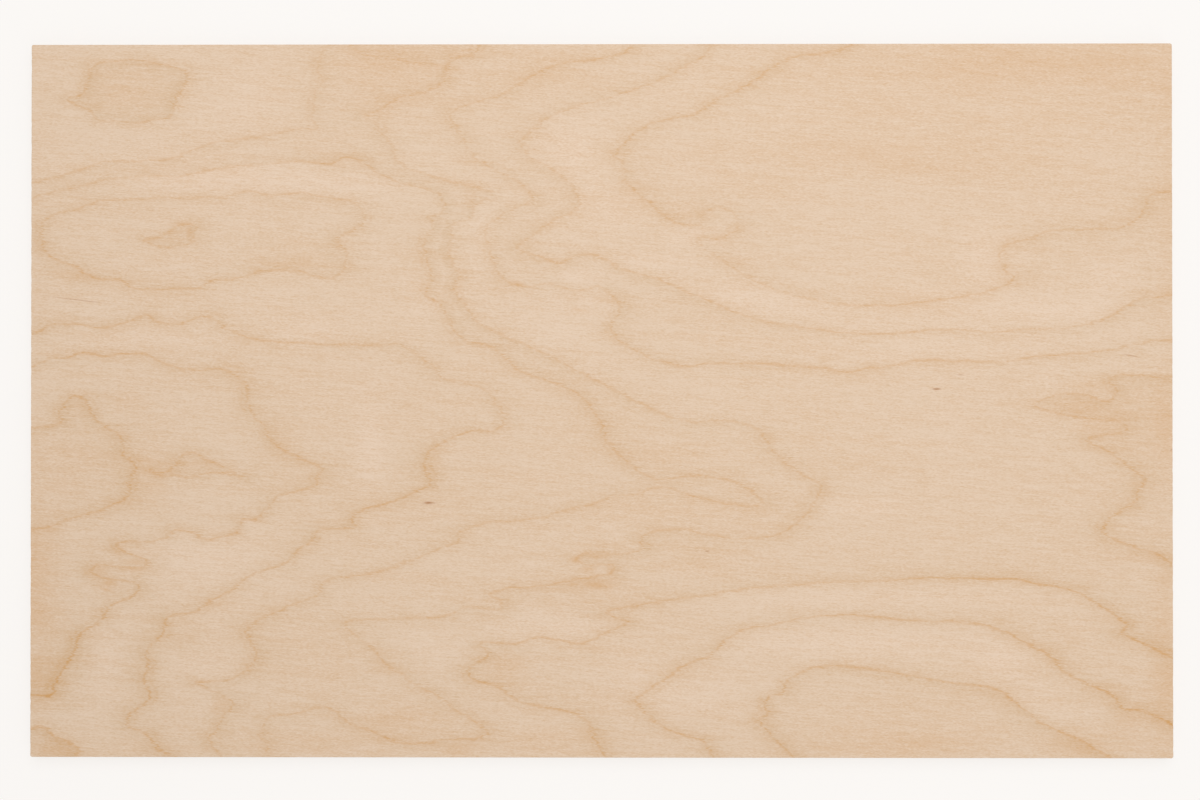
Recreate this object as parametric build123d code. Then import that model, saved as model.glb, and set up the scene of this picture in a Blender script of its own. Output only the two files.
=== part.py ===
from build123d import *
import os

# Plywood sheet, lying flat, face grain along X, in millimetres.
# The origin is at the middle of the underside, with +Z up through the thickness.

# The sheet as cut
sheet_length = 800.0  # along the face grain
sheet_width = 500.0  # across the face grain
sheet_thickness = 12.0  # all the veneers pressed into one board

# How its edges are finished
corner_radius = 1.2  # the four upright corners, knocked off by handling
arris_radius = 0.4  # the edges round both faces, eased with sandpaper


def cut_outline():
    # Square-cut panel outline with its corners just taken off
    return RectangleRounded(sheet_length, sheet_width, corner_radius)


def eased_rims(board):
    # The closed loops of edges round the underside and the top face
    by_height = board.faces().sort_by(Axis.Z)
    return by_height[0].edges() + by_height[-1].edges()


def plywood_sheet():
    board = extrude(cut_outline(), amount=sheet_thickness)
    return fillet(eased_rims(board), arris_radius)


os.makedirs("parts", exist_ok=True)
export_step(plywood_sheet(), "parts/plywood_sheet.step")
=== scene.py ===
import math
from types import SimpleNamespace

import bpy
import numpy as np
from mathutils.kdtree import KDTree
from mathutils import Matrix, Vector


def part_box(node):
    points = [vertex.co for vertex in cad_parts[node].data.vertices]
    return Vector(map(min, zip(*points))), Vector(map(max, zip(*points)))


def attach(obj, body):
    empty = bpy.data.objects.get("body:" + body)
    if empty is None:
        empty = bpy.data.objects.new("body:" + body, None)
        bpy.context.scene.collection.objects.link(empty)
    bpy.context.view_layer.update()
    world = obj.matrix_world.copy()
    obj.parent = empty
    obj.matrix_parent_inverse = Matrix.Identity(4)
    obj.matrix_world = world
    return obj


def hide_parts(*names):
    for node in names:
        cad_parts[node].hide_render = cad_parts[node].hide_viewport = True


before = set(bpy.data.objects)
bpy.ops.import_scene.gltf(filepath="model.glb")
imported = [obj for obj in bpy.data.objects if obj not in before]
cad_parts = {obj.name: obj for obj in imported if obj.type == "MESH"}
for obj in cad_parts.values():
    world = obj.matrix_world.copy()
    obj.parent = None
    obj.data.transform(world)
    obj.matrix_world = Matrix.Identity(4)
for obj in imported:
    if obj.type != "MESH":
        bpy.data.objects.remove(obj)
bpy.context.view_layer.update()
sheetLow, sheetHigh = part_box("plywood_sheet")
sheetSize = sheetHigh - sheetLow
scene = bpy.context.scene
scene.view_settings.view_transform = "Standard"
mm = 0.001
tiny = 1e-9  # least length that is divided by
print("frame loaded, sheet", [round(side / mm, 2) for side in sheetSize], "mm")

# How the photograph sees the face, in its own pixels
photoView = {
    "width": 1200,
    "height": 800,
    "lensMiddle": (609.85, 396.8),  # centre of the lens's bowing
    "lensBow": 6.43e-8,  # growth per square pixel from that centre
    "backLeft": (27, 42),  # the sheet's four corners
    "backRight": (1175.5, 41),
    "frontRight": (1176.5, 761),
    "frontLeft": (25, 759),
    "mmPerPixel": 0.7005,
    "rounds": 4,  # steps in which a place is closed in on
}
pixel = photoView["mmPerPixel"] * mm


def straighten(spots):
    # Takes the lens's bowing out of photo pixels
    offset = np.asarray(spots, float) - photoView["lensMiddle"]
    reach = np.hypot(offset[:, 0], offset[:, 1])
    true = reach.copy()
    for _ in range(photoView["rounds"]):
        true = reach / (1 + photoView["lensBow"] * true**2)
    return photoView["lensMiddle"] + offset * (true / np.maximum(reach, tiny))[:, None]


def ontoSheet(spots):
    # Photo pixels to places on the face, in metres
    flat = straighten(spots)
    corners = [photoView[name] for name in ("backLeft", "backRight", "frontRight", "frontLeft")]
    backLeft, backRight, frontRight, frontLeft = straighten(corners)
    across = np.full(len(flat), 0.5)
    for _ in range(photoView["rounds"]):
        left = backLeft + (frontLeft - backLeft) * across[:, None]
        right = backRight + (frontRight - backRight) * across[:, None]
        along = (flat[:, 0] - left[:, 0]) / (right[:, 0] - left[:, 0])
        back = backLeft + (backRight - backLeft) * along[:, None]
        front = frontLeft + (frontRight - frontLeft) * along[:, None]
        across = (flat[:, 1] - back[:, 1]) / (front[:, 1] - back[:, 1])
    return np.column_stack([sheetLow.x + along * sheetSize.x, sheetHigh.y - across * sheetSize.y])


# Growth rings on the face, followed in photo pixels. Each is a loop or runs off the sheet at both ends.
# Inks are how dark the line is, and leans how much paler its left side is than its right, in levels. Both
# are spread evenly from the first spot to the last.
growthRings = {
    "backLeftEye": {
        "loop": True,
        "inks": (0.9,),
        "leans": (3,),
        "spots": [
            (96, 63), (136, 60), (160, 64), (180, 69), (190, 78), (180, 97), (172, 117), (156, 121),
            (138, 124), (118, 121), (100, 120), (90, 111), (66, 99), (79, 95), (85, 86), (88, 73),
        ],
    },
    "backLeftBend": {
        "loop": False,
        "inks": (0.7, 0.7, 0.6, 0.6),
        "leans": (2, 2, 1, 0),
        "spots": [
            (20, 184), (50, 178), (72, 172), (100, 164), (120, 161), (142, 162), (164, 161), (182, 158),
            (200, 150), (216, 145), (264, 139), (282, 135), (304, 131), (322, 131), (315, 121),
            (317, 108), (320, 92), (327, 83), (321, 72), (324, 60), (334, 40),
        ],
    },
    "longTongue": {
        "loop": False,
        "inks": (0.7, 0.8, 0.8, 0.9, 0.9, 0.7, 0.8, 0.9, 1.0),
        "leans": (-1, -2.5, -2, -1.5, 0.5, 1, 1, -1.5, -0.5),
        "spots": [
            (20, 199), (62, 190), (90, 184), (122, 178), (156, 177), (182, 178), (224, 170), (262, 167),
            (300, 164), (334, 167), (350, 160), (366, 165), (384, 177), (406, 186), (434, 194),
            (447, 205), (446, 216), (431, 220), (438, 229), (428, 245), (431, 262), (435, 280),
            (429, 297), (445, 307), (456, 328), (470, 342), (494, 348), (508, 359), (522, 371),
            (546, 380), (572, 390), (590, 405), (602, 424), (608, 440), (624, 458), (646, 474),
            (662, 478), (686, 475), (704, 475), (732, 480), (750, 490), (761, 501), (748, 504),
            (716, 500), (690, 494), (668, 486), (652, 486), (640, 492), (616, 494), (600, 500),
            (562, 509), (548, 515), (520, 518), (486, 521), (462, 531), (463, 538), (438, 548),
            (406, 561), (372, 571), (334, 577), (324, 584), (324, 591), (302, 600), (276, 611),
            (252, 624), (251, 635), (260, 650), (254, 663), (234, 677), (198, 680), (218, 690),
            (236, 701), (222, 718), (218, 730), (210, 736), (216, 746), (230, 762),
        ],
    },
    "leftOval": {
        "loop": True,
        "inks": (0.8, 0.7, 0.7, 1.0, 1.0),
        "leans": (0, 0.5, 1, 1, -0.5),
        "spots": [
            (41, 228), (46, 218), (62, 212), (80, 209), (96, 203), (122, 200), (200, 199), (232, 198),
            (252, 193), (276, 198), (304, 195), (330, 200), (354, 203), (363, 210), (370, 220),
            (362, 230), (344, 240), (343, 246), (353, 256), (349, 264), (349, 272), (336, 281),
            (318, 277), (296, 272), (266, 273), (246, 279), (214, 283), (204, 289), (180, 290),
            (140, 289), (122, 281), (100, 279), (86, 273), (76, 266), (56, 260), (44, 250),
        ],
    },
    "ovalHeart": {
        "loop": True,
        "inks": (0.8,),
        "leans": (1,),
        "spots": [
            (148, 241), (164, 237), (178, 230), (186, 226), (198, 227), (198, 238), (192, 245),
            (172, 248), (156, 245),
        ],
    },
    "middleTongue": {
        "loop": False,
        "inks": (1.0, 0.9, 0.9, 0.7, 1.1, 1.0, 1.1, 1.3),
        "leans": (0, 0, 1, 0.5, 1, 1, -1),
        "spots": [
            (20, 337), (40, 331), (50, 325), (80, 325), (102, 328), (126, 324), (144, 317), (152, 316),
            (166, 324), (184, 325), (208, 317), (220, 321), (234, 331), (262, 340), (304, 344),
            (386, 346), (402, 345), (418, 354), (438, 368), (446, 378), (468, 383), (488, 390),
            (500, 404), (508, 422), (496, 430), (476, 430), (452, 439), (434, 450), (428, 464),
            (434, 482), (416, 492), (392, 502), (366, 508), (356, 518), (358, 526), (324, 528),
            (318, 537), (300, 550), (292, 560), (256, 573), (236, 587), (210, 602), (196, 611),
            (170, 615), (166, 632), (148, 650), (151, 666), (144, 678), (151, 696), (130, 714),
            (130, 726), (148, 734), (160, 748), (184, 762),
        ],
    },
    "leftCoast": {
        "loop": False,
        "inks": (1.0, 1.0, 0.9, 0.9, 1.0, 0.9, 1.3, 1.8),
        "leans": (0.5, 0.5, 1, 1, 0.5, 1.5),
        "spots": [
            (20, 371), (42, 362), (52, 358), (72, 358), (82, 353), (106, 356), (124, 354), (148, 354),
            (164, 362), (186, 369), (204, 371), (222, 369), (240, 375), (252, 388), (252, 402),
            (258, 415), (269, 426), (274, 438), (284, 448), (304, 457), (328, 468), (320, 476),
            (322, 483), (302, 490), (284, 495), (270, 508), (262, 517), (246, 519), (242, 529),
            (222, 537), (206, 537), (196, 531), (178, 528), (170, 536), (150, 541), (124, 541),
            (122, 549), (150, 560), (140, 567), (100, 564), (92, 571), (108, 578), (136, 581),
            (141, 588), (130, 597), (112, 604), (100, 621), (80, 634), (73, 652), (60, 672), (52, 686),
            (48, 695), (20, 697),
        ],
    },
    "leftCape": {
        "loop": False,
        "inks": (0.8, 1.2, 1.0, 1.0, 0.8),
        "leans": (1,),
        "spots": [
            (20, 428), (60, 424), (60, 412), (74, 396), (88, 402), (98, 419), (116, 431), (126, 440),
            (125, 452), (138, 464), (138, 471), (132, 482), (133, 491), (124, 500), (100, 510),
            (74, 517), (50, 526), (20, 531),
        ],
    },
    "leftIslet": {
        "loop": True,
        "inks": (0.9,),
        "leans": (1,),
        "spots": [
            (150, 468), (166, 472), (180, 464), (184, 456), (198, 452), (212, 459), (232, 468),
            (248, 477), (226, 472), (208, 473), (190, 477), (178, 474), (164, 476),
        ],
    },
    "frontLeftCorner": {
        "loop": False,
        "inks": (1.2, 1.2, 0.6),
        "leans": (4,),
        "spots": [
            (18, 732), (40, 728), (50, 736), (68, 744), (78, 750), (72, 756), (64, 764),
        ],
    },
    "backLens": {
        "loop": False,
        "inks": (0.5,),
        "leans": (-2,),
        "spots": [
            (350, 40), (362, 56), (400, 63), (445, 69), (456, 58), (473, 54), (479, 40),
        ],
    },
    "greatTongue": {
        "loop": False,
        "inks": (0.8, 0.6, 0.7, 0.8, 0.8, 0.9, 0.8, 0.8, 0.9, 0.7),
        "leans": (1, 1.5, 3.5, 1.5, 0, -2.5, -1.5, -0.5, -0.5, -1),
        "spots": [
            (486, 40), (478, 57), (458, 63), (449, 74), (444, 88), (430, 95), (404, 101), (382, 114),
            (365, 119), (378, 125), (388, 139), (398, 152), (398, 160), (414, 172), (446, 183),
            (476, 190), (495, 198), (476, 210), (476, 220), (455, 228), (455, 244), (452, 256),
            (462, 276), (458, 293), (472, 310), (480, 323), (502, 335), (530, 347), (556, 359),
            (584, 374), (606, 385), (632, 399), (662, 413), (690, 422), (716, 420), (740, 423),
            (758, 431), (768, 447), (784, 463), (804, 476), (817, 483), (814, 497), (802, 513),
            (784, 528), (764, 535), (734, 536), (708, 533), (684, 527), (658, 529), (641, 535),
            (642, 547), (616, 551), (598, 549), (577, 554), (590, 562), (612, 562), (612, 570),
            (590, 574), (566, 578), (540, 583), (510, 585), (493, 591), (505, 598), (500, 606),
            (468, 604), (448, 613), (404, 615), (366, 617), (348, 620), (362, 634), (378, 645),
            (388, 660), (408, 671), (416, 679), (438, 690), (456, 704), (476, 716), (490, 727),
            (480, 734), (444, 735), (430, 739), (400, 738), (374, 727), (350, 719), (340, 708),
            (322, 703), (304, 710), (272, 714), (266, 724), (263, 734), (270, 742), (268, 764),
        ],
    },
    "backWave": {
        "loop": False,
        "inks": (0.9, 0.6, 0.7, 0.9, 0.8, 0.8),
        "leans": (-1, -0.5, 0, -1, 1, 0),
        "spots": [
            (640, 40), (628, 55), (606, 62), (570, 67), (546, 73), (530, 83), (506, 98), (480, 106),
            (458, 114), (454, 121), (462, 136), (472, 153), (484, 166), (512, 181), (532, 196),
            (532, 205), (510, 215), (490, 230), (490, 246), (498, 270), (512, 285), (534, 289),
            (552, 286), (578, 293), (600, 289), (620, 307), (616, 320), (610, 327), (620, 343),
            (644, 355), (668, 365), (690, 367), (714, 364), (760, 365), (812, 368), (846, 373),
            (862, 369), (882, 368), (910, 362), (932, 361), (986, 363), (1012, 361), (1032, 357),
            (1070, 355), (1104, 351), (1132, 345), (1160, 341), (1184, 343),
        ],
    },
    "middleWave": {
        "loop": False,
        "inks": (0.9, 0.6, 0.8, 0.8, 0.9),
        "leans": (2, 0, 2.5, 1.5, 1),
        "spots": [
            (716, 40), (704, 60), (684, 71), (656, 86), (616, 100), (580, 110), (550, 122), (530, 137),
            (523, 146), (534, 162), (556, 175), (572, 187), (580, 202), (579, 212), (552, 226),
            (536, 238), (520, 250), (540, 259), (562, 265), (580, 258), (600, 259), (626, 273),
            (656, 281), (684, 293), (716, 306), (748, 319), (784, 326), (816, 331), (848, 335),
            (894, 334), (930, 331), (962, 331), (986, 334), (1022, 330), (1062, 329), (1092, 323),
            (1112, 314), (1136, 300), (1156, 298), (1184, 293),
        ],
    },
    "frontWave": {
        "loop": False,
        "inks": (1.0, 0.9, 0.8, 0.8, 0.7, 0.6, 0.6, 0.7, 0.8, 0.8, 0.9, 0.9),
        "leans": (0, -1, -1, 0, 1),
        "spots": [
            (862, 40), (842, 52), (822, 57), (796, 60), (774, 69), (760, 80), (738, 94), (710, 107),
            (694, 119), (664, 124), (640, 134), (624, 149), (616, 158), (625, 170), (628, 188),
            (648, 205), (666, 221), (684, 228), (700, 226), (704, 215), (722, 212), (736, 220),
            (734, 233), (718, 242), (698, 240), (702, 250), (722, 263), (742, 277), (776, 292),
            (806, 301), (846, 307), (882, 307), (918, 304), (952, 299), (980, 294), (1000, 287),
            (1010, 280), (1000, 270), (997, 252), (1012, 243), (1028, 240), (1044, 233), (1066, 231),
            (1100, 230), (1126, 226), (1142, 214), (1147, 199), (1158, 193), (1184, 191),
        ],
    },
    "rightCape": {
        "loop": False,
        "inks": (0.8, 0.9, 0.5, 0.7, 0.9, 1.0, 1.1, 1.1),
        "leans": (-3, -2, 0, 0),
        "spots": [
            (1184, 377), (1150, 377), (1122, 375), (1106, 381), (1114, 390), (1104, 402), (1082, 395),
            (1056, 395), (1030, 405), (1060, 415), (1096, 420), (1120, 422), (1120, 433), (1084, 438),
            (1104, 451), (1122, 463), (1142, 481), (1135, 490), (1136, 499), (1118, 511), (1106, 520),
            (1100, 530), (1110, 538), (1136, 548), (1156, 555), (1184, 575),
        ],
    },
    "outerArch": {
        "loop": False,
        "inks": (1.4, 1.3, 0.8, 1.0, 1.0, 1.0),
        "leans": (1.5, 2, 0, -1, -1.5),
        "spots": [
            (1184, 665), (1162, 653), (1140, 642), (1120, 634), (1126, 627), (1122, 621), (1100, 606),
            (1070, 590), (1036, 583), (1010, 578), (960, 577), (916, 576), (890, 578), (848, 579),
            (800, 581), (740, 586), (700, 593), (660, 598), (624, 604), (607, 608), (618, 614),
            (628, 618), (606, 629), (582, 639), (562, 636), (540, 633), (520, 639), (482, 639),
            (491, 649), (471, 665), (476, 676), (500, 682), (518, 695), (548, 703), (576, 709),
            (592, 722), (596, 736), (614, 762),
        ],
    },
    "middleArch": {
        "loop": False,
        "inks": (1.4, 1.2, 0.9, 1.1, 1.1),
        "leans": (0, 0.5, -1),
        "spots": [
            (1188, 735), (1160, 719), (1140, 711), (1124, 709), (1112, 696), (1084, 682), (1062, 670),
            (1048, 656), (1024, 642), (996, 628), (974, 622), (936, 619), (898, 617), (842, 612),
            (800, 615), (772, 621), (742, 626), (724, 637), (708, 652), (688, 659), (664, 675),
            (644, 688), (636, 696), (648, 711), (664, 723), (690, 732), (704, 738), (716, 762),
        ],
    },
    "innerArch": {
        "loop": False,
        "inks": (1.1, 1.1, 1.0, 1.1),
        "leans": (-2,),
        "spots": [
            (1122, 764), (1094, 749), (1072, 736), (1042, 723), (1022, 708), (1000, 691), (974, 683),
            (946, 680), (914, 674), (876, 667), (846, 663), (818, 663), (798, 669), (784, 678),
            (780, 688), (764, 695), (766, 709), (758, 715), (767, 729), (781, 743), (800, 762),
        ],
    },
}

# Paler and darker stretches of the face, given as middle, half length and half height in pixels, and level.
# Most are the wood's own tone; the narrow dark strips along the left and right ends are painted shade.
tonePatches = {
    "betweenRings": [
        (130, 92, 50, 28, -6), (284, 436, 18, 24, -4), (85, 185, 60, 9, -5), (200, 180, 120, 14, 4),
        (350, 182, 60, 20, 4), (300, 258, 50, 18, -6), (180, 236, 30, 10, -6), (120, 340, 100, 12, 4),
        (85, 402, 18, 14, -6), (70, 460, 60, 40, -3), (290, 462, 40, 14, -4), (200, 650, 30, 60, 4),
        (56, 748, 26, 12, -11), (570, 160, 36, 40, 6), (600, 210, 60, 26, 4), (575, 335, 60, 24, 3),
        (730, 300, 180, 16, 5), (1060, 310, 90, 14, 5), (700, 555, 60, 16, -5), (640, 510, 120, 18, -3),
        (1080, 408, 34, 10, -8), (860, 597, 200, 12, 4), (860, 640, 180, 16, 6), (1060, 700, 60, 26, 5),
        (700, 690, 50, 30, 4), (900, 715, 120, 30, -3), (1080, 750, 36, 10, -8), (420, 645, 40, 20, 5),
        (320, 660, 60, 30, -3),
    ],
    # Painted shade: the narrow strips with middles 30 to 38 or 1165 to 1172 pixels across darken the face
    # towards its left and right ends.
    "acrossRings": [
        (390, 62, 60, 34, -8), (200, 176, 130, 26, 4), (540, 75, 70, 22, -5), (345, 170, 34, 12, -6),
        (485, 240, 12, 36, 6), (308, 335, 32, 14, 5), (75, 278, 26, 12, -5), (50, 335, 40, 10, -4),
        (585, 281, 22, 9, 6), (240, 368, 22, 12, -5), (128, 400, 20, 12, -5), (1040, 62, 150, 30, -8),
        (800, 155, 80, 14, -4), (985, 258, 26, 30, 7), (1110, 275, 26, 16, 5), (930, 345, 160, 34, 4),
        (1085, 385, 22, 7, -6), (690, 240, 24, 10, 5), (1172, 250, 16, 200, -4), (30, 565, 26, 50, -11),
        (34, 675, 22, 22, -11), (152, 475, 18, 34, -6), (200, 465, 40, 10, -5), (215, 560, 60, 34, 6),
        (105, 655, 20, 55, 5), (190, 635, 22, 16, -6), (375, 450, 14, 50, 6), (440, 458, 12, 16, -6),
        (555, 627, 60, 16, 6), (508, 662, 22, 16, -7), (395, 650, 30, 16, -6), (400, 715, 44, 20, -7),
        (300, 740, 60, 14, -6), (460, 746, 20, 10, -6), (545, 732, 50, 10, -5), (600, 578, 26, 9, -6),
        (430, 576, 50, 8, -4), (665, 455, 56, 12, -6), (855, 506, 38, 10, 6), (640, 678, 36, 34, 5),
        (1000, 660, 26, 14, 7), (890, 742, 90, 14, -6), (1090, 697, 30, 12, -6),
        (1168, 680, 16, 60, -10), (1165, 590, 14, 30, -6), (105, 582, 14, 9, -8), (598, 543, 36, 6, -7),
        (475, 200, 14, 14, -6), (370, 650, 18, 12, 6), (220, 703, 9, 8, -8), (1090, 428, 20, 5, -7),
        (1150, 558, 30, 5, -7), (1135, 714, 22, 10, -7), (930, 168, 140, 22, -3),
        (395, 105, 50, 22, -4), (240, 105, 80, 40, 3), (685, 217, 22, 7, -7), (718, 241, 16, 5, -6),
        (734, 262, 16, 6, -5), (1130, 440, 40, 70, -3), (1150, 400, 30, 30, -3),
        (1000, 140, 190, 70, -2), (190, 300, 170, 100, 2), (1165, 430, 14, 40, -7),
        (1100, 735, 60, 16, -5), (650, 264, 60, 9, 4), (430, 292, 22, 26, 4), (38, 618, 20, 16, -7),
        (930, 295, 50, 10, 4),
    ],
}

# The sheet's own shape, beyond what the frame gives
sheetShape = {
    "cell": 2.5 * mm,  # spacing of the face's grid
    "cornerRadius": 1.2 * mm,
    "arris": 0.4 * mm,
    "facePly": 1.0 * mm,  # sanded face veneers are the thinnest
    "innerPlies": 7,
    "glueGap": 0.1 * mm,
    "plyStep": 0.06 * mm,  # cross plies lie this far in
    "sawWave": 0.04 * mm,  # unevenness of the sawn walls
    "endFray": 0.35 * mm,  # how far fibres are broken away along the ends
    "sideFray": 0.08 * mm,
    "arrisFray": 0.6,  # share of the face's fray on the arris below it
    "ringStep": 2,  # pixels between two points along a ring
    "leanReach": 9 * mm,  # how far a ring shades the wood beside it
    "seed": 7,
}


def gridLines(low, high):
    # Even spacing, with two more lines in each rounded corner
    radius = sheetShape["cornerRadius"]
    count = round((high - low - 2 * radius) / sheetShape["cell"])
    even = np.linspace(low + radius, high - radius, count + 1)
    return np.concatenate([[low, low + radius / 2], even, [high - radius / 2, high]])


def roundCorners(x, y, inset):
    # Draws the grid in by the inset, and its square corners onto arcs
    radius = sheetShape["cornerRadius"]
    straightX = sheetSize.x / 2 - radius
    straightY = sheetSize.y / 2 - radius
    outX = np.maximum(np.abs(x) - straightX, 0) / radius
    outY = np.maximum(np.abs(y) - straightY, 0) / radius
    arc = radius - inset
    roundX = np.minimum(np.abs(x), straightX) + arc * outX * np.sqrt(1 - outY**2 / 2)
    roundY = np.minimum(np.abs(y), straightY) + arc * outY * np.sqrt(1 - outX**2 / 2)
    return np.copysign(roundX, x), np.copysign(roundY, y)


def plyHeights():
    # Heights of the glue lines from the underside up
    face = sheetShape["facePly"]
    return np.linspace(face, sheetSize.z - face, sheetShape["innerPlies"] + 1)


def wallProfile():
    # Inset and height of each ring of the edges, from the face down to the underside
    arris = sheetShape["arris"]
    turn = arris * (1 - math.sqrt(0.5))
    top = sheetSize.z
    rings = [(turn, top - turn), (0, top - arris)]
    for number, height in enumerate(plyHeights()[::-1]):
        insets = (0, sheetShape["plyStep"])
        above, below = insets if number % 2 == 0 else insets[::-1]
        rings.append((above, height + sheetShape["glueGap"] / 2))
        rings.append((below, height - sheetShape["glueGap"] / 2))
    return rings + [(0, arris), (turn, turn), (arris, 0)]


# Ring field

def smoothLine(spots, loop):
    # A curve through the spots, cut into short pieces
    spots = np.array(spots, float)
    if loop:
        padded = np.vstack([spots[-1], spots, spots[0], spots[1]])
    else:
        padded = np.vstack([2 * spots[0] - spots[1], spots, 2 * spots[-1] - spots[-2]])
    pieces = []
    for before, start, end, after in zip(padded, padded[1:], padded[2:], padded[3:]):
        count = max(2, round(math.dist(start, end) / sheetShape["ringStep"]))
        t = np.linspace(0, 1, count, endpoint=False)[:, None]
        bend = (2 * before - 5 * start + 4 * end - after) * t**2
        twist = (3 * start - before - 3 * end + after) * t**3
        pieces.append((2 * start + (end - before) * t + bend + twist) / 2)
    pieces.append(padded[-2][None])
    return np.vstack(pieces)


def spreadAlong(values, count):
    return np.interp(np.linspace(0, len(values) - 1, count), np.arange(len(values)), values)


def ringPieces():
    # Every ring as short straight pieces on the face, with its ink and lean
    starts, ends, inks, leans = [], [], [], []
    for ring in growthRings.values():
        line = ontoSheet(smoothLine(ring["spots"], ring["loop"]))
        starts.append(line[:-1])
        ends.append(line[1:])
        inks.append(spreadAlong(ring["inks"], len(line) - 1))
        leans.append(spreadAlong(ring["leans"], len(line) - 1))
    return np.vstack(starts), np.vstack(ends), np.concatenate(inks), np.concatenate(leans)


def ringSides(xLines, yLines, starts, ends):
    # Plus or minus one, changing at every ring, counted from the back left corner
    def crossings(axis, level):
        other = 1 - axis
        hit = (starts[:, axis] <= level) != (ends[:, axis] <= level)
        share = (level - starts[hit, axis]) / (ends[hit, axis] - starts[hit, axis])
        return starts[hit, other] + share * (ends[hit, other] - starts[hit, other])

    atLeft = crossings(0, xLines[0])
    sides = np.zeros((len(xLines), len(yLines)))
    for column, y in enumerate(yLines):
        onRow = np.sort(crossings(1, y))
        passed = np.searchsorted(onRow, xLines) - np.searchsorted(onRow, xLines[0])
        sides[:, column] = 1 - 2 * ((passed + (atLeft > y).sum()) % 2)
    return sides


def ringField(xLines, yLines):
    # Signed distance to the nearest ring, its slope along the grain, its ink, the shade beside it
    # and the side that each place is on
    starts, ends, inks, leans = ringPieces()
    sides = ringSides(xLines, yLines, starts, ends).ravel()
    middles = (starts + ends) / 2
    tree = KDTree(len(middles))
    for number, spot in enumerate(middles):
        tree.insert((spot[0], spot[1], 0), number)
    tree.balance()
    gridX, gridY = np.meshgrid(xLines, yLines, indexing="ij")
    spots = np.column_stack([gridX.ravel(), gridY.ravel()])
    nearest = np.array([tree.find((x, y, 0))[1] for x, y in spots])
    run = ends - starts
    length = np.maximum(np.hypot(run[:, 0], run[:, 1]), tiny)
    tangent = (run / length[:, None])[nearest]
    offset = spots - middles[nearest]
    along = (offset * tangent).sum(1)
    beside = tangent[:, 0] * offset[:, 1] - tangent[:, 1] * offset[:, 0]
    past = np.maximum(np.abs(along) - length[nearest] / 2, 0)
    away = np.hypot(beside, past)
    slope = -tangent[:, 1] * np.sign(beside) * sides
    shade = leans[nearest] * np.sign(beside) * np.exp(-away / sheetShape["leanReach"])
    return sides * away, slope, inks[nearest], shade, sides


def toneField(xLines, yLines, sides):
    # Broad tone in levels, some of it kept between the rings round it
    gridX, gridY = np.meshgrid(xLines, yLines, indexing="ij")
    x, y = gridX.ravel(), gridY.ravel()
    tone = np.zeros(len(x))
    for kind, patches in tonePatches.items():
        for spotX, spotY, halfLength, halfHeight, level in patches:
            (middleX, middleY), = ontoSheet([(spotX, spotY)])
            home = np.argmin((x - middleX) ** 2 + (y - middleY) ** 2)
            reach = ((x - middleX) / (halfLength * pixel)) ** 2
            reach += ((y - middleY) / (halfHeight * pixel)) ** 2
            inside = sides == sides[home] if kind == "betweenRings" else 1
            tone += level * np.exp(-reach) * inside
    return tone


# The board's texture map. The map's width runs across the fibres, where the grain is finest. Bands are the
# lowest and highest share of its height.
mapLayout = {
    "name": "OFBake",  # the export keeps a map of this name
    "margin": 0.002,  # left free at both sides
    "face": (0.002, 0.58),
    "underside": (0.59, 0.86),
    "edges": (0.87, 0.998),
    "edgeFill": 0.88,  # share of each edge's strip that is used
}


def mapBand(band, across, along):
    # Places in one band of the map, from shares of its width and height
    low, high = band
    margin = mapLayout["margin"]
    u = margin + (1 - 2 * margin) * across
    v = low + (high - low) * along
    return np.stack(np.broadcast_arrays(u, v), -1)


def layMap(mesh, quads, loop, along, across, segments):
    # In the mesh's own order: the face, the edges ring by ring with a strip for each side, the underside
    places = [mapBand(mapLayout["face"], 1 - across[quads], along[quads])]
    profile = np.array([(sheetShape["arris"], sheetSize.z)] + wallProfile())
    reach = np.concatenate([[0], np.cumsum(np.hypot(*np.diff(profile, axis=0).T))])
    rise = 1 - reach / reach[-1]
    lowest, highest = mapLayout["edges"]
    strip = (highest - lowest) / len(segments)
    for above, below in zip(rise, rise[1:]):
        for number, count in enumerate(segments):
            low = lowest + number * strip
            start = np.arange(count) / count
            end = start + 1 / count
            span = np.stack([start, start, end, end], -1)
            band = (low, low + strip * mapLayout["edgeFill"])
            places.append(mapBand(band, span, np.array([above, below, below, above])))
    places.append(mapBand(mapLayout["underside"], across[loop[::-1]], along[loop[::-1]]))
    spots = np.concatenate([place.reshape(-1) for place in places]).astype(np.float32)
    mesh.uv_layers.new(name=mapLayout["name"]).data.foreach_set("uv", spots)


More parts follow.
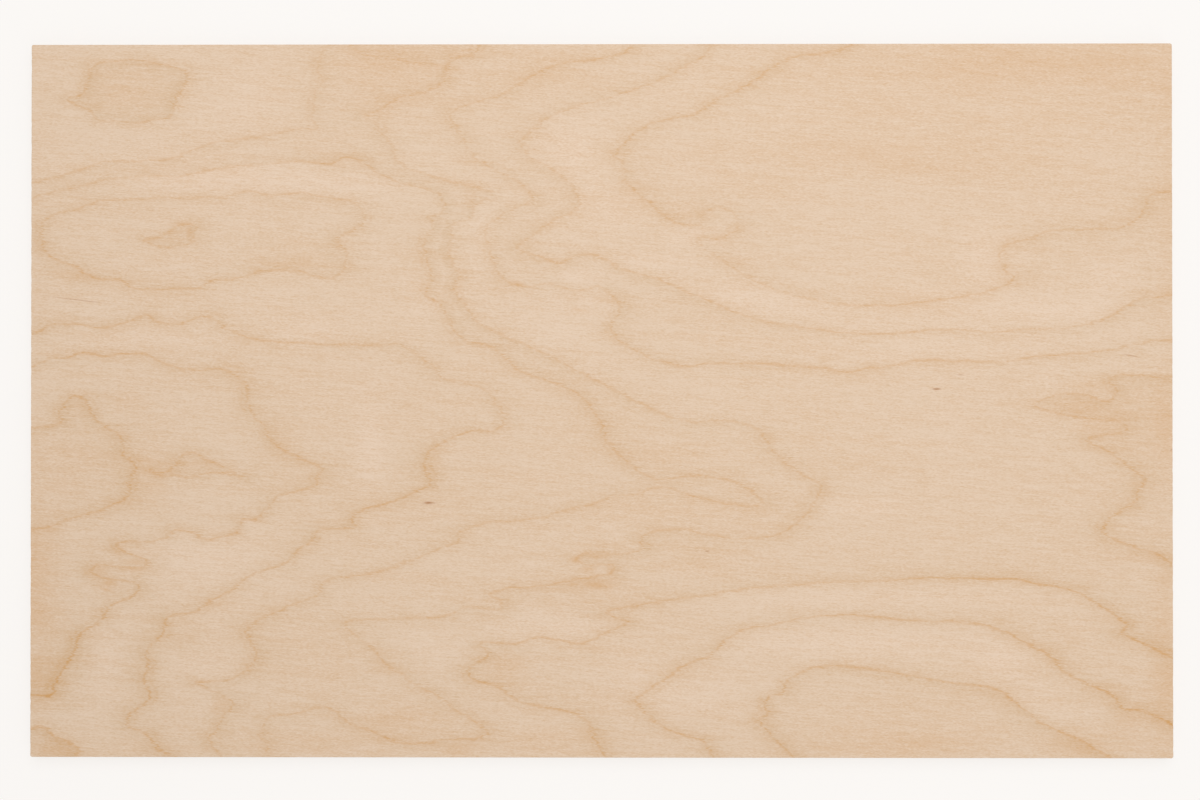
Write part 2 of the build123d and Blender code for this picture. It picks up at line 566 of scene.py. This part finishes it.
def buildSheet():
    # One closed board: a fine grid for the face, rings of faces round the edges and one polygon for
    # the underside
    random = np.random.default_rng(sheetShape["seed"])
    xLines = gridLines(sheetLow.x, sheetHigh.x)
    yLines = gridLines(sheetLow.y, sheetHigh.y)
    columns, rows = len(xLines), len(yLines)
    gridX, gridY = np.meshgrid(xLines, yLines, indexing="ij")
    flatX, flatY = gridX.ravel(), gridY.ravel()
    number = np.arange(columns * rows).reshape(columns, rows)
    loop = np.concatenate([number[:, 0], number[-1, 1:], number[-2::-1, -1], number[0, -2:0:-1]])
    onEnd = np.abs(flatX[loop]) > sheetSize.x / 2 - mm
    fray = np.where(onEnd, sheetShape["endFray"], sheetShape["sideFray"])
    fray = fray * random.random(len(loop)) ** 2  # squared, so that deep nicks are rare
    saw = sheetShape["sawWave"] * random.random(len(loop))

    faceX, faceY = roundCorners(flatX, flatY, sheetShape["arris"])
    faceX[loop], faceY[loop] = roundCorners(flatX[loop], flatY[loop], sheetShape["arris"] + fray)
    rings = [np.column_stack([faceX, faceY, np.full(len(faceX), sheetSize.z)])]
    for step, (inset, height) in enumerate(wallProfile()):
        rough = fray * sheetShape["arrisFray"] if step < 2 else saw
        x, y = roundCorners(flatX[loop], flatY[loop], inset + rough)
        rings.append(np.column_stack([x, y, np.full(len(loop), height)]))
    vertices = np.vstack(rings)
    vertices[:, 2] += sheetLow.z

    quads = np.stack([number[:-1, :-1], number[1:, :-1], number[1:, 1:], number[:-1, 1:]], -1)
    quads = quads.reshape(-1, 4)
    faces = quads.tolist()
    upper = loop
    for step in range(len(rings) - 1):
        lower = columns * rows + step * len(loop) + np.arange(len(loop))
        faces += np.column_stack([upper, lower, np.roll(lower, -1), np.roll(upper, -1)]).tolist()
        upper = lower
    faces.append(upper[::-1].tolist())

    mesh = bpy.data.meshes.new("plywoodSheet")
    mesh.from_pydata(vertices.tolist(), [], faces)
    slots = np.ones(len(faces), int)  # edges
    slots[: len(quads) + 2 * len(loop)] = 0  # face and the arris round it
    slots[-1] = 2  # underside
    mesh.polygons.foreach_set("material_index", slots)
    smooth = np.zeros(len(faces), bool)
    smooth[: len(quads)] = True
    mesh.polygons.foreach_set("use_smooth", smooth)

    distance, slope, ink, shade, sides = ringField(xLines, yLines)
    fields = {"ringDistance": distance, "ringSlope": slope, "ringInk": ink, "ringShade": shade}
    fields["faceTone"] = toneField(xLines, yLines, sides)
    for name, values in fields.items():
        spread = np.concatenate([values] + [values[loop]] * (len(rings) - 1)).astype(np.float32)
        mesh.attributes.new(name, "FLOAT", "POINT").data.foreach_set("value", spread)
    along = (flatX - sheetLow.x) / sheetSize.x
    across = (flatY - sheetLow.y) / sheetSize.y
    layMap(mesh, quads, loop, along, across, (columns - 1, rows - 1) * 2)
    mesh.update()
    piece = bpy.data.objects.new("plywood_board", mesh)
    scene.collection.objects.link(piece)
    return piece


# Shader sockets as numbers

class Wire:
    # Holds one socket, so that sums on it add Math nodes to its material
    def __init__(self, tree, socket=None):
        self.tree = tree
        self.socket = socket

    def node(self, kind, settings=None, sockets=None, out=0):
        made = self.tree.nodes.new(kind)
        for name, value in (settings or {}).items():
            if name == "stops":
                setStops(made.color_ramp, value)
            else:
                setattr(made, name, value)
        for name, value in (sockets or {}).items():
            if isinstance(value, Wire):
                self.tree.links.new(value.socket, made.inputs[name])
            else:
                made.inputs[name].default_value = value
        return Wire(self.tree, made.outputs[out]) if made.outputs else None

    def maths(self, operation, *values):
        return self.node("ShaderNodeMath", {"operation": operation}, dict(enumerate(values)))

    def __add__(self, other):
        return self.maths("ADD", self, other)

    def __radd__(self, other):
        return self.maths("ADD", other, self)

    def __sub__(self, other):
        return self.maths("SUBTRACT", self, other)

    def __rsub__(self, other):
        return self.maths("SUBTRACT", other, self)

    def __mul__(self, other):
        return self.maths("MULTIPLY", self, other)

    def __rmul__(self, other):
        return self.maths("MULTIPLY", other, self)

    def __truediv__(self, other):
        return self.maths("DIVIDE", self, other)

    def __rtruediv__(self, other):
        return self.maths("DIVIDE", other, self)

    def __pow__(self, other):
        return self.maths("POWER", self, other)

    def __rpow__(self, other):
        return self.maths("POWER", other, self)

    def __neg__(self):
        return self.maths("MULTIPLY", self, -1)

    def __abs__(self):
        return self.maths("ABSOLUTE", self)

    def __gt__(self, other):
        return self.maths("GREATER_THAN", self, other)

    def atLeast(self, low):
        return self.maths("MAXIMUM", self, low)

    def atMost(self, high):
        return self.maths("MINIMUM", self, high)

    def rounded(self):
        return self.maths("ROUND", self)

    def between(self, low, high):
        # Smooth step from 0 at low to 1 at high
        return self.node("ShaderNodeMapRange", {"interpolation_type": "SMOOTHSTEP"}, {
            "Value": self, "From Min": low, "From Max": high})

    def blend(self, first, second):
        # This value as the share of the second colour
        return self.node("ShaderNodeMix", {"data_type": "RGBA"}, {0: self, 6: first, 7: second}, 2)


def setStops(ramp, stops):
    while len(ramp.elements) < len(stops):
        ramp.elements.new(1)
    for element, (place, colour) in zip(ramp.elements, stops):
        element.position = place
        element.color = colour


def screen(red, green, blue):
    # A colour as it is on screen, from 0 to 255, as shader values
    parts = [value / 255 for value in (red, green, blue)]
    light = [((part + 0.055) / 1.055) ** 2.4 if part > 0.04 else part / 12.92 for part in parts]
    return (*light, 1)


def newMaterial(name):
    material = bpy.data.materials.new(name)
    material.use_nodes = True
    material.node_tree.nodes.clear()
    return material, Wire(material.node_tree)


def closeMaterial(tree, look, colour, roughness, height):
    # Principled shader with its bump, and the constant specular level on its own socket
    bump = tree.node("ShaderNodeBump", {}, {"Strength": 1, "Distance": look["bumpDepth"], "Height": height})
    surface = tree.node("ShaderNodeBsdfPrincipled", {}, {
        "Base Color": colour,
        "Roughness": roughness,
        "Normal": bump,
        "Specular IOR Level": look["specular"],
    })
    tree.node("ShaderNodeOutputMaterial", {}, {"Surface": surface})


# What all the noise has in common
noiseLook = {
    "rough": 0.55,
    "spread": 2.4,  # brings most of it to between -1 and 1
    "shift": (1, 0.37, 0.71),  # how far one unit of seed moves it on each axis
}


def stretched(tree, place, size, seed, turn):
    # Coordinates in which one grain of the size is one unit, turned with the fibres
    along, across = size
    return tree.node("ShaderNodeMapping", {"vector_type": "TEXTURE"}, {
        "Vector": place,
        "Location": [seed * part for part in noiseLook["shift"]],
        "Rotation": (0, 0, turn),
        "Scale": (along, across, across),
    })


def grain(tree, place, look, name, detail=1.0, dimensions="2D", slant=None):
    # Smooth noise from about -1 to 1 with the look's size and seed of that name. A slant cuts obliquely
    # through solid noise, so that the noise's own grid doesn't show.
    vector = stretched(tree, place, look[name], look["seeds"][name], look["dip"])
    if slant:
        vector = tree.node("ShaderNodeVectorRotate", {"rotation_type": "EULER_XYZ"}, {
            "Vector": vector, "Rotation": slant})
    noise = tree.node("ShaderNodeTexNoise", {"noise_dimensions": dimensions}, {
        "Vector": vector, "Scale": 1.0, "Detail": detail, "Roughness": noiseLook["rough"]})
    return (noise - 0.5) * noiseLook["spread"]


def singles(tree, place, look, name):
    # One even value from -1 to 1 for each long cell
    vector = stretched(tree, place, look[name], look["seeds"][name], look["dip"])
    cell = tree.node("ShaderNodeTexVoronoi", {"voronoi_dimensions": "2D"}, {
        "Vector": vector, "Scale": 1.0}, "Color")
    return tree.node("ShaderNodeSeparateXYZ", {}, {"Vector": cell}) * 2 - 1


faceLook = {
    "dip": math.radians(-4),  # the fibres fall slightly to the right
    "pale": screen(238, 213, 189),
    "middle": screen(224, 196, 166),
    "dark": screen(196, 159, 117),
    "ring": screen(210, 149, 66),  # rings are redder than the fibres' shade
    "fleck": screen(168, 104, 45),
    "paleLevel": 20,  # tone levels of the three wood colours
    "darkLevel": -40,
    "lift": 11.0,  # levels, to keep the mean colour
    "redness": 0.05,  # ring colour all over
    "lineShare": 0.23,  # ring colour at the middle of a line
    "lineWidth": 0.82 * mm,
    "wander": 1.0 * mm,  # how far a ring strays from its course
    "echoShare": 0.1,  # second line beside a ring that crosses the fibres
    "echoGap": 4 * mm,
    "zoneShare": 0.06,  # soft brown zone round a line
    "zoneWidth": 5.6 * mm,
    "zoneLevel": 2.6,
    "shade": 2.0,  # levels of the darker wood further off
    "shadeReach": 11 * mm,
    "steepShade": 2.5,  # how much more of it where a ring crosses the fibres
    "steepZone": 0.5,  # how much wider the zone is there
    "patchShare": 0.02,  # ring colour for each level of a darker patch
    "patchThread": 0.5,  # how unevenly threads take that colour
    "fadeShare": 0.3,  # how unevenly a ring is inked
    "leastFade": 0.3,
    "jag": 1.1 * mm,  # how far single fibres shift a ring
    "threadJag": 2,  # how much further threads do
    "specks": (2.1 * mm, 0.52 * mm),  # length and width of each grain
    "speckSlant": (0.6, 0.45, 0.7),  # turn of the cut through the specks' noise
    "fibres": (9 * mm, 0.72 * mm),
    "threads": (34 * mm, 1.4 * mm),
    "mottle": (14 * mm, 4 * mm),
    "stripes": (50 * mm, 4 * mm),
    "bands": (110 * mm, 8 * mm),
    "clouds": (160 * mm, 60 * mm),
    "pores": (7 * mm, 0.8 * mm),
    "poreRange": (0.4, 0.8),  # noise from which a pore begins and is full
    "hairs": (50 * mm, 2.4 * mm),
    "hairWidth": 0.13,
    "hairRange": (-0.2, 0.5),  # mottle and fibres between which hairs come in
    "hairFibre": 0.5,
    "speckLevel": 9.6,
    "fibreLevel": 2.4,
    "threadLevel": 1.6,
    "poreLevel": 5.0,
    "hairLevel": 5.0,
    "speckShare": 0.215,
    "fibreShare": 0.054,
    "threadShare": 0.042,
    "mottleShare": 0.018,
    "stripeShare": 0.036,
    "bandShare": 0.06,
    "cloudShare": 0.05,
    "markFray": 0.2,  # how far fibres break up a mark's rim
    "roughness": 0.62,
    "fibreRoughness": 0.03,
    "specular": 0.3,
    "bumpDepth": 0.03 * mm,
    "fibreHeight": 0.3,  # against the depth of a pore
    "seeds": {
        "specks": 0.1, "fibres": 0.2, "threads": 0.3, "mottle": 0.4, "bands": 0.5, "clouds": 0.6,
        "pores": 0.7, "stripes": 0.8, "hairs": 0.9,
    },
}

# Small marks by colour: middle, half length and half height in pixels, turn in degrees, and strength
faceMarks = {
    "fleck": [
        (432.5, 501, 9, 2.2, 0, 0.85), (932.5, 389.5, 6, 1.4, 0, 0.8), (956, 375.5, 5, 1.2, -3, 0.3),
        (1130, 356.5, 11, 1.1, -11, 0.45), (706, 548.5, 3, 1.4, 0, 0.4),
        (1170, 450.5, 2.5, 1.0, 35, 0.5), (77, 300, 40, 0.75, -6.9, 0.5),
    ],
    "ring": [
        (520, 286.5, 14, 5, -18, 0.25), (581, 312, 12, 3.2, -6, 0.2), (577, 557, 9, 5, 0, 0.28),
        (597, 553, 20, 4, 0, 0.26), (589, 565.5, 14, 3.5, 0, 0.26), (612, 567, 6, 8, 0, 0.24),
        (598, 582, 22, 6, -8, 0.3), (574, 581, 9, 4, 0, 0.2), (120, 548, 12, 12, 0, 0.13),
        (138, 561, 20, 4.5, -4, 0.22), (138, 568, 20, 3, -3, 0.22), (96, 570, 18, 8, 0, 0.2),
        (111, 582, 12, 5, 0, 0.2), (108, 589, 10, 2.4, -12, 0.26), (193, 233, 5, 9, 0, 0.18),
        (186, 225, 18, 4, 6, 0.15), (152, 241, 14, 6, 0, 0.14),
    ],
}


def stroke(away, width):
    # Soft line, 1 at its middle
    return math.e ** -((away / width) ** 2)


def woodColour(look, tone, redder):
    # From dark to pale wood by tone, with the rings' colour over it
    span = look["paleLevel"] - look["darkLevel"]
    stops = [(0, look["dark"]), (-look["darkLevel"] / span, look["middle"]), (1, look["pale"])]
    colour = tone.node("ShaderNodeValToRGB", {"stops": stops}, {"Fac": (tone - look["darkLevel"]) / span})
    return redder.blend(colour, look["ring"])


def woodGrain(tree, place, look):
    # What face and underside share: the grains, and what they add up to in tone, redness and relief
    speck = grain(tree, place, look, "specks", 1, "3D", look["speckSlant"])
    fibre = singles(tree, place, look, "fibres")
    thread = grain(tree, place, look, "threads")
    mottle = grain(tree, place, look, "mottle")
    band = grain(tree, place, look, "bands")
    pores = grain(tree, place, look, "pores", 0).between(*look["poreRange"])
    tone = speck * look["speckLevel"] + fibre * look["fibreLevel"] + thread * look["threadLevel"]
    redder = look["redness"] + mottle * look["mottleShare"] + band * look["bandShare"]
    redder = redder - speck * look["speckShare"] - fibre * look["fibreShare"]
    return SimpleNamespace(
        fibre=fibre,
        thread=thread,
        mottle=mottle,
        band=band,
        tone=tone - pores * look["poreLevel"],
        redder=redder - thread * look["threadShare"],
        roughness=look["roughness"] + fibre * look["fibreRoughness"],
        height=fibre * look["fibreHeight"] - pores,
    )


def faceMaterial():
    material, tree = newMaterial("birchFace")
    look = faceLook
    place = tree.node("ShaderNodeTexCoord", out="Object")
    wood = woodGrain(tree, place, look)
    stripe = grain(tree, place, look, "stripes")
    cloud = grain(tree, place, look, "clouds")
    hair = 1 - abs(grain(tree, place, look, "hairs", 0)) / look["hairWidth"]
    hairs = hair.atLeast(0) * (wood.mottle + wood.fibre * look["hairFibre"]).between(*look["hairRange"])

    def field(name):
        return tree.node("ShaderNodeAttribute", {"attribute_name": name}, out="Fac")

    # Rings: a thin line, a second one beside it where it crosses the fibres, and a soft zone round them
    slope = field("ringSlope")
    steep = slope * slope
    jag = (wood.fibre + wood.thread * look["threadJag"]) * look["jag"]
    away = field("ringDistance") + slope * jag + wood.mottle * look["wander"]
    fade = 1 + (wood.band + wood.thread + wood.mottle) * look["fadeShare"]
    ringInk = field("ringInk")
    line = stroke(away, look["lineWidth"]) * look["lineShare"]
    line = line + stroke(away - look["echoGap"], look["lineWidth"]) * steep * look["echoShare"]
    zone = stroke(away, (1 + steep * look["steepZone"]) * look["zoneWidth"])
    beside = math.e ** -(abs(away) / look["shadeReach"]) * (1 + steep * look["steepShade"])
    shade = ringInk * (beside * look["shade"] + zone * look["zoneLevel"])

    # faceTone holds the wood's tone patches and the painted shade along the left and right ends.
    patch = field("faceTone")
    tone = look["lift"] + patch.atLeast(0) + field("ringShade") - shade
    tone = tone + wood.tone - hairs * look["hairLevel"]
    darker = -patch.atMost(0) * look["patchShare"] * (1 + wood.thread * look["patchThread"])
    ink = ringInk * fade.atLeast(look["leastFade"])
    redder = wood.redder + ink * (line + zone * look["zoneShare"]) + darker
    redder = redder + stripe * look["stripeShare"] + cloud * look["cloudShare"]
    colour = woodColour(look, tone, redder)

    fray = wood.fibre * look["markFray"]
    for name, marks in faceMarks.items():
        for spotX, spotY, halfLength, halfHeight, turn, strength in marks:
            (middleX, middleY), = ontoSheet([(spotX, spotY)])
            local = tree.node("ShaderNodeMapping", {"vector_type": "TEXTURE"}, {
                "Vector": place,
                "Location": (middleX, middleY, sheetHigh.z),
                "Rotation": (0, 0, math.radians(turn)),
                "Scale": (halfLength * pixel, halfHeight * pixel, 1),
            })
            far = tree.node("ShaderNodeVectorMath", {"operation": "LENGTH"}, {0: local}, "Value")
            colour = ((1 - far + fray).between(0, 1) * strength).blend(colour, look[name])

    closeMaterial(tree, look, colour, wood.roughness, wood.height)
    return material


edgeLook = {
    "sideGrain": screen(232, 206, 174),
    "endGrain": screen(208, 174, 136),
    "glue": screen(134, 92, 62),
    "pore": screen(120, 84, 58),
    "endFacing": 0.6,  # walls that look along the sheet by this much show its ends
    "dip": 0,
    "wave": (40 * mm, 40 * mm),  # waviness of the glue lines
    "waveDepth": 0.08 * mm,
    "glueWidth": 0.14 * mm,
    "glueCore": 0.3,  # share of that width in full colour
    "glueShare": 0.7,
    "glueReach": 0.3,  # plies past the outermost glue lines that still count as theirs
    "streaks": (18 * mm, 0.35 * mm),  # fibres cut along
    "streakShare": 0.35,
    "streakHeight": 0.4,
    "streakRoughness": 0.03,
    "stains": (30 * mm, 1.5 * mm),
    "stainShare": 0.2,
    "sideShare": 0.8,  # side grain's own colour, over the end grain's
    "tubes": (0.3 * mm, 0.45 * mm),  # fibres cut across
    "tubeRange": (0.3, 0.8),  # noise from which a tube's colour begins and is full
    "tubeShare": 0.4,
    "pitRange": (0.2, 0.8),  # the same for its depth
    "roughness": 0.75,
    "endRoughness": 0.1,  # how much rougher end grain is
    "specular": 0.25,
    "bumpDepth": 0.08 * mm,
    "seeds": {"wave": 0.1, "streaks": 0.2, "tubes": 0.3, "stains": 0.4},
}


def edgeMaterial():
    material, tree = newMaterial("birchEdges")
    look = edgeLook
    place = tree.node("ShaderNodeTexCoord", out="Object")
    facing = tree.node("ShaderNodeTexCoord", out="Normal")
    onEnd = abs(tree.node("ShaderNodeSeparateXYZ", {}, {"Vector": facing})) > look["endFacing"]
    height = tree.node("ShaderNodeSeparateXYZ", {}, {"Vector": place}, "Z")

    # Plies counted up from the lowest glue line, with every other one across the sheet
    plies = sheetShape["innerPlies"]
    glueLines = plyHeights()
    ply = float(glueLines[1] - glueLines[0])
    wave = grain(tree, place, look, "wave", 1, "3D") * look["waveDepth"]
    level = (height + wave - float(glueLines[0])) / ply
    inside = (level > 0) * (plies - level > 0)
    inPair = level.maths("FLOORED_MODULO", level, 2)
    crossPly = inside * (1 - inPair.maths("FLOOR", inPair))
    endGrain = crossPly + onEnd - crossPly * onEnd * 2
    seam = abs(level - level.rounded()) * ply
    glue = 1 - seam.between(look["glueWidth"] * look["glueCore"], look["glueWidth"])
    glue = glue * (level > -look["glueReach"]) * (plies + look["glueReach"] - level > 0)

    streak = grain(tree, place, look, "streaks", 2, "3D")
    tubes = grain(tree, place, look, "tubes", 1, "3D")
    stain = grain(tree, place, look, "stains", 1, "3D")
    sideShare = look["sideShare"] + streak * look["streakShare"] + stain * look["stainShare"]
    side = sideShare.blend(look["endGrain"], look["sideGrain"])
    end = (tubes.between(*look["tubeRange"]) * look["tubeShare"]).blend(look["endGrain"], look["pore"])
    colour = (glue * look["glueShare"]).blend(endGrain.blend(side, end), look["glue"])
    ridges = streak * look["streakHeight"] * (1 - endGrain)
    rise = ridges - tubes.between(*look["pitRange"]) * endGrain - glue
    roughness = look["roughness"] + endGrain * look["endRoughness"] + streak * look["streakRoughness"]
    closeMaterial(tree, look, colour, roughness, rise)
    return material


# The underside has the face's wood and grain, with a plainer figure of its own
backLook = {
    "dip": 0,
    "figure": (420 * mm, 120 * mm),
    "turns": 2.6,  # rings from the lowest to the highest of the figure
    "lineWidth": 0.045,  # as shares of the gap between two rings
    "zoneWidth": 0.2,
    "wander": 0.06,
    "lineShare": 0.16,
    "zoneShare": 0.05,
    "zoneLevel": 4.0,
    "fadeShare": 0.5,
    "lift": 8.0,
    "seeds": {
        "specks": 1.0, "fibres": 1.1, "threads": 1.2, "mottle": 1.3, "bands": 1.4, "pores": 1.5,
        "figure": 1.6,
    },
}


def backMaterial():
    material, tree = newMaterial("birchBack")
    look = {**faceLook, **backLook}
    place = tree.node("ShaderNodeTexCoord", out="Object")
    wood = woodGrain(tree, place, look)
    figure = grain(tree, place, look, "figure") * look["turns"]
    figure = figure + (wood.thread + wood.mottle) * look["wander"]
    away = figure - figure.rounded()
    line = stroke(away, look["lineWidth"]) * (1 + wood.band * look["fadeShare"])
    zone = stroke(away, look["zoneWidth"])
    tone = look["lift"] - zone * look["zoneLevel"] + wood.tone
    redder = wood.redder + line * look["lineShare"] + zone * look["zoneShare"]
    colour = woodColour(look, tone, redder)
    closeMaterial(tree, look, colour, wood.roughness, wood.height)
    return material


board = buildSheet()
for makeMaterial in (faceMaterial, edgeMaterial, backMaterial):
    board.data.materials.append(makeMaterial())
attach(board, "root")
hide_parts("plywood_sheet")
print("board built,", len(board.data.polygons), "faces")

stageLook = {
    "floorSize": 60.0,
    "floorDrop": 0.2 * mm,  # just under the sheet, so that no two faces coincide
    "white": screen(253, 250, 247),
    "shadowShare": 0.2,  # how much of the floor's look is its own shaded colour
    "backdrop": screen(243, 240, 237),
    "roomLight": (1, 1, 1, 1),
    "roomLevel": 0.5,
    "keySize": 1.4,
    "keyPower": 17,
    "keyPlace": (0.1, 0.8, 1.8),
    "fillSize": 1.6,
    "fillPower": 7,
    "fillPlace": (0.9, -1.3, 1.5),
}


def shownRay(tree):
    # One where the camera, a mirror or glass looks straight at the surface
    seen = tree.node("ShaderNodeLightPath", out="Is Camera Ray")
    glossy = tree.node("ShaderNodeLightPath", out="Is Glossy Ray")
    through = tree.node("ShaderNodeLightPath", out="Is Transmission Ray")
    return (seen + glossy + through).atMost(1)


def buildFloor():
    half = stageLook["floorSize"] / 2
    drop = sheetLow.z - stageLook["floorDrop"]
    mesh = bpy.data.meshes.new("paleFloor")
    corners = [(-half, -half, drop), (half, -half, drop), (half, half, drop), (-half, half, drop)]
    mesh.from_pydata(corners, [], [(0, 1, 2, 3)])
    floor = bpy.data.objects.new("paleFloor", mesh)
    scene.collection.objects.link(floor)
    material, tree = newMaterial("paleFloor")
    shaded = tree.node("ShaderNodeBsdfDiffuse", {}, {"Color": stageLook["white"]})
    white = tree.node("ShaderNodeEmission", {}, {"Color": stageLook["white"], "Strength": 1.0})
    share = shownRay(tree) * (1 - stageLook["shadowShare"])
    surface = tree.node("ShaderNodeMixShader", {}, {0: share, 1: shaded, 2: white})
    tree.node("ShaderNodeOutputMaterial", {}, {"Surface": surface})
    mesh.materials.append(material)


def buildWorld():
    world = bpy.data.worlds.new("softRoom")
    world.use_nodes = True
    world.node_tree.nodes.clear()
    tree = Wire(world.node_tree)
    light = tree.node("ShaderNodeBackground", {}, {
        "Color": stageLook["roomLight"], "Strength": stageLook["roomLevel"]})
    seen = tree.node("ShaderNodeBackground", {}, {"Color": stageLook["backdrop"], "Strength": 1.0})
    surface = tree.node("ShaderNodeMixShader", {}, {0: shownRay(tree), 1: light, 2: seen})
    tree.node("ShaderNodeOutputWorld", {}, {"Surface": surface})
    scene.world = world


def addLamp(name, place, power, size):
    data = bpy.data.lights.new(name, "AREA")
    data.energy = power
    data.size = size
    lamp = bpy.data.objects.new(name, data)
    lamp.location = place
    lamp.rotation_euler = (-lamp.location).to_track_quat("-Z", "Y").to_euler()
    scene.collection.objects.link(lamp)


buildFloor()
buildWorld()
addLamp("keyLamp", stageLook["keyPlace"], stageLook["keyPower"], stageLook["keySize"])
addLamp("fillLamp", stageLook["fillPlace"], stageLook["fillPower"], stageLook["fillSize"])
print("stage and lamps ready")

cameraView = {
    "lens": 50.0,
    "sensor": 36.0,
    "middle": (600.6, 400.4),  # pixel that the sheet's middle falls on
    "lean": (math.radians(0.35), math.radians(0.35)),  # front and right stand slightly nearer
}


def buildCamera():
    data = bpy.data.cameras.new("photoCamera")
    data.lens = cameraView["lens"]
    data.sensor_width = cameraView["sensor"]
    distance = photoView["width"] * pixel * data.lens / data.sensor_width
    leanX, leanY = cameraView["lean"]
    middleX, middleY = cameraView["middle"]
    offsetX = (photoView["width"] / 2 - middleX) * pixel
    offsetY = (middleY - photoView["height"] / 2) * pixel
    camera = bpy.data.objects.new("photoCamera", data)
    camera.location = (
        offsetX + distance * math.tan(leanY),
        offsetY - distance * math.tan(leanX),
        sheetHigh.z + distance,
    )
    camera.rotation_euler = (leanX, leanY, 0)
    scene.collection.objects.link(camera)
    scene.camera = camera


buildCamera()
print("camera ready")
